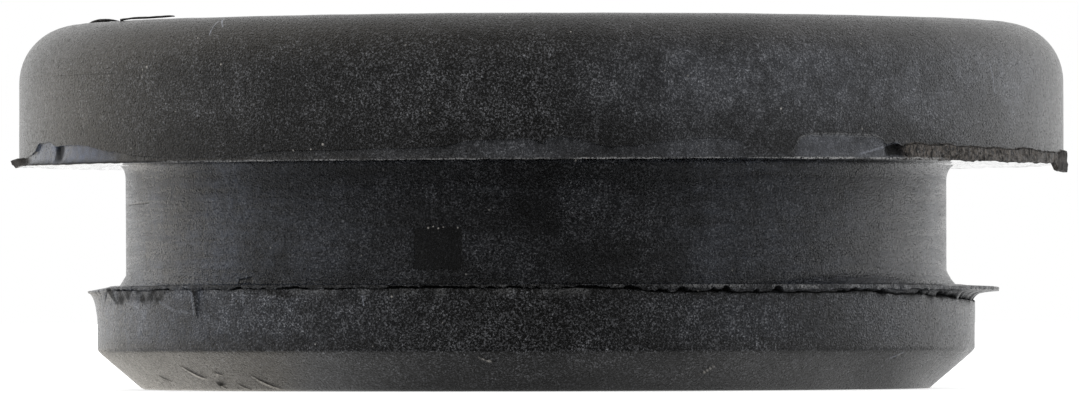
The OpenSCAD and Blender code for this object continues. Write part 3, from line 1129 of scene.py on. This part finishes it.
def fleck_level(g, skin):
    """Level of the fine pale flecks: by place, and fewer under dirty marks and painted shade."""
    fleck = g.stretch(skin.fleck, 0.48, 0.7, smooth=False)
    fleck = g.plus(fleck, g.stretch(skin.grain, 0.6, 0.76, 0.0, 1.6))
    fleck = g.times(fleck, FLECK_GREY, skin.mottled(0.6, 1.4), skin.clouded(0.7, 1.3))
    fleck = g.times(fleck, g.stretch(skin.z, 12.4, 13.6, 1.0, 0.6))
    on_side = g.times(skin.below(COLLAR_Z, COLLAR_Z - 0.2), g.stretch(skin.z, *COLLAR_FLECKED))
    more = g.times(on_side, g.between(skin.angle, *FLECKED))
    more = g.most(more, skin.below(TAPER_H + 0.05, TAPER_H - 0.05, 0.0, 0.35))
    low_head = g.times(g.stretch(skin.z, HEAD_Z - 0.1, HEAD_Z), skin.below(10.6, 9.0, 0.0, 0.45))
    fewer = g.most(low_head, g.times(skin.in_groove, 0.25))
    fleck = g.times(fleck, g.plus(1.0, g.times(more, 0.6)), g.rest(fewer))
    return g.times(fleck, g.rest(g.times(skin.dirt, 0.7)))


def rubber_colour(g, skin, smudge_and_shade, streak, dust, pits):
    """Black rubber: its moulded skin with painted light, torn faces, rough flash, fine flecks, dust,
    dirty marks with painted shade, and painted highlights.
    """
    # The torn faces' own tone, with painted reflection by angle
    base = g.blend(g.times(skin.torn, 0.75), moulded_tone(g, skin), g.table(skin.angle, TORN_TONE_AND_LIGHT))
    drawn = g.stretch(skin.turned, 0.3, 0.7, -0.4, 0.4)
    drawn = g.plus(1.0, g.times(skin.in_groove, drawn))
    base = g.tinted(base, g.times(skin.clouded(0.65, 1.35), skin.mottled(0.7, 1.35), drawn))
    folds = g.noise(g.scaled(skin.p, FOLDS), 1.0, 4.0, 0.85)
    brown = g.tinted(grey(FLASH_GREY, BROWN), g.stretch(folds, 0.4, 0.6, 0.0, 2.0))
    base = g.blend(g.times(skin.rough, 0.85), base, brown)
    # Dirty marks, and painted shade in cracks, crevices, cuts and fissures
    base = g.blend(g.times(skin.dirt, 0.9), base, grey(SHADE_AND_DIRT_GREY))
    base = g.blend(1.0, base, g.tinted(fleck_level(g, skin), grey(1.0, FLECK_TINT)), "ADD")
    # Smudges, and the painted shadow under the head at the front
    base = g.tinted(base, g.rest(smudge_and_shade))
    on_taper = skin.below(TAPER_H + 0.1, TAPER_H)
    # Pale marks: painted highlights along edges, and painted light on the floors of the cuts in the
    # taper
    worn = g.blend(on_taper, grey(EDGE_GREY), grey(CUT_GREY, WARM))
    grainy = g.most(skin.grained(), g.times(on_taper, 0.8))
    base = g.blend(g.times(skin.pale, grainy, 0.9), base, worn)
    base = g.blend(g.times(streak, skin.grained(0.35)), base, grey(STREAK_GREY, BLUISH))
    base = g.blend(pits, base, grey(SHADE_AND_DIRT_GREY))
    return g.blend(g.times(dust, 0.8), base, grey(DUST_GREY, WARM))


def rubber_gloss(g, skin, smudge_and_shade, under):
    """Roughness: even on moulded skin, lower on torn faces, near mirror-like under the head."""
    gloss = g.stretch(skin.mottle, 0.3, 0.7, 0.24, 0.32, smooth=False)
    gloss = g.plus(gloss, g.stretch(skin.grain, 0.42, 0.28, 0.0, 0.25))
    drawn = g.stretch(skin.turned, 0.35, 0.65, -0.05, 0.05)
    gloss = g.plus(gloss, g.times(skin.in_groove, drawn))
    gloss = g.plus(gloss, g.times(skin.rough, 0.3), g.times(skin.dirt, 0.5))
    gloss = g.minus(gloss, g.times(skin.torn, 0.04), g.times(smudge_and_shade, 0.1))
    specks = g.stretch(g.noise(skin.p, GLINTS, 3.0, 0.7), 0.54, 0.64, 0.03, 0.5)
    return g.plus(g.times(gloss, g.rest(under)), g.times(specks, under))


BUMP = 0.028 * MM


def rubber_material():
    """Moulded black rubber, with smoother torn faces and rougher flash."""
    material = bpy.data.materials.new("rubber")
    g = Graph(material)
    skin = Skin(g)
    smudge_and_shade, streak, dust, pits, under = rubber_masks(g, skin)
    colour = rubber_colour(g, skin, smudge_and_shade, streak, dust, pits)
    gloss = rubber_gloss(g, skin, smudge_and_shade, under)
    smooth_tear = g.times(skin.torn, g.stretch(skin.angle, *TEAR_SMOOTH), 0.8)
    smooth = g.most(smooth_tear, g.times(smudge_and_shade, 0.8), under)
    height = g.plus(skin.grain, g.times(skin.mottle, 0.5), g.times(skin.turned, skin.in_groove))
    hollows = g.times(g.stretch(skin.grain, 0.42, 0.28), 0.6)
    height = g.times(g.minus(height, g.times(pits, 2.0), hollows), g.rest(smooth))
    normal = g.node("ShaderNodeBump", Height=height, Distance=BUMP, Strength=1.0).outputs[0]
    sockets = {"Base_Color": colour, "Roughness": gloss, "Normal": normal}
    g.finish(g.node("ShaderNodeBsdfPrincipled", **sockets))
    return material


# ---- floor, light and camera
FLOOR_HALF = 3.0
FLOOR_Z = -0.00002
FLOOR_GREY = 0.8
FLOOR_GLOW = 0.7
# Brightness of the room as the rubber mirrors it, at the horizon and above: (angle, level)
ROOM = [
    (-180, 1.1), (-150, 1.15), (-130, 1.35, WARM), (-116, 1.2, WARM), (-103, 0.85, WARM), (-92, 0.66),
    (-70, 0.48), (-54, 0.36), (-33, 0.2), (-10, 0.1), (10, 0.08), (24, 0.17), (44, 0.38), (62, 0.44),
    (84, 0.6), (98, 1.1), (110, 1.4), (130, 1.25), (155, 1.1), (180, 1.1),
]
ROOM_ABOVE = [
    (-180, 0.7), (-120, 1.0, WARM), (-80, 0.58, WARM), (-40, 0.33, WARM), (0, 0.24, WARM), (40, 0.26),
    (80, 0.48), (115, 1.1), (150, 0.85), (180, 0.7),
]
# Brightness of the floor close round the foot, as the rubber mirrors it
FLOOR_NEAR = [
    (-180, 1.0), (-75, 1.2, WARM), (-60, 1.42, WARM), (-50, 1.3, WARM), (-40, 1.1, WARM), (-33, 0.95),
    (-25, 0.65), (-18, 0.42), (-5, 0.3), (3, 0.32), (11, 0.42), (23, 0.48), (32, 0.6), (38, 0.6),
    (48, 0.68), (56, 0.48), (62, 0.5), (75, 0.85), (180, 1.0),
]
NEAR_R = (17.2, 19.0)


def make_floor():
    """A plain pale floor that reads as white and keeps the object's shadow."""
    s = FLOOR_HALF
    mesh = bpy.data.meshes.new("floor")
    mesh.from_pydata([(-s, -s, 0), (s, -s, 0), (s, s, 0), (-s, s, 0)], [], [(0, 1, 2, 3)])
    floor = new_object("floor", mesh)
    floor.location.z = FLOOR_Z
    material = bpy.data.materials.new("floor")
    g = Graph(material)
    x, y, _ = g.parts(g.node("ShaderNodeTexCoord").outputs["Object"])
    angle = g.angle_of(x, y)
    far = g.stretch(g.length_of(x, y), NEAR_R[0] * MM, NEAR_R[1] * MM)
    mirrored = g.blend(far, g.table(angle, FLOOR_NEAR), g.table(angle, ROOM))
    rays = g.node("ShaderNodeLightPath").outputs
    seen = g.most(rays["Is Camera Ray"], rays["Is Transmission Ray"])
    both = g.node("ShaderNodeAddShader")
    g.put(both.inputs[0], g.node("ShaderNodeBsdfDiffuse", Color=grey(FLOOR_GREY)).outputs[0])
    g.put(both.inputs[1], g.node("ShaderNodeEmission", Strength=g.times(seen, FLOOR_GLOW)).outputs[0])
    mix = g.node("ShaderNodeMixShader", Fac=rays["Is Glossy Ray"])
    g.put(mix.inputs[1], both.outputs[0])
    g.put(mix.inputs[2], g.node("ShaderNodeEmission", Color=mirrored).outputs[0])
    g.finish(mix)
    mesh.materials.append(material)


def make_world():
    """A plain white room, whose mirror image is dim on the camera's side."""
    world = bpy.data.worlds.new("room")
    bpy.context.scene.world = world
    g = Graph(world)
    x, y, z = g.parts(g.node("ShaderNodeTexCoord").outputs["Generated"])
    angle = g.angle_of(x, y)
    mirrored = g.blend(g.stretch(z, 0.05, 0.7), g.table(angle, ROOM), g.table(angle, ROOM_ABOVE))
    glossy = g.node("ShaderNodeLightPath").outputs["Is Glossy Ray"]
    colour = g.blend(glossy, grey(1.0), mirrored)
    g.finish(g.node("ShaderNodeBackground", Color=colour), "ShaderNodeOutputWorld")


CAMERA_BACK = 425.7
CAMERA_UP = 2.88
AIM_UP = 7.255
AIM_ACROSS = 0.135
SENSOR = 36.0
LENS = 366.2
ROLL = math.radians(-0.12)


def make_camera():
    """A long lens in front, just above the floor, at the height of the collar."""
    camera = new_object("camera", bpy.data.cameras.new("camera"))
    camera.data.sensor_width = SENSOR
    camera.data.lens = LENS
    camera.data.clip_start = 0.01
    camera.location = (0.0, -CAMERA_BACK * MM, CAMERA_UP * MM)
    tilt = math.atan2(AIM_UP - CAMERA_UP, CAMERA_BACK)
    pan = -math.atan2(AIM_ACROSS, CAMERA_BACK)
    look = Euler((math.pi / 2 + tilt, 0.0, pan)).to_matrix()
    camera.rotation_euler = (look @ Euler((0.0, 0.0, ROLL)).to_matrix()).to_euler()
    bpy.context.scene.camera = camera


# ---- the scene
bpy.context.scene.view_settings.view_transform = "Standard"
make_camera()
make_world()
make_floor()
rubber = rubber_material()
pieces = [make_ring()]
for number, sliver in enumerate(SLIVERS, 1):
    pieces.append(make_sliver(f"flash_sliver_{number}", *sliver))
for piece in pieces:
    piece.data.materials.append(rubber)
    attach(piece, "root")
    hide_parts("grommet")
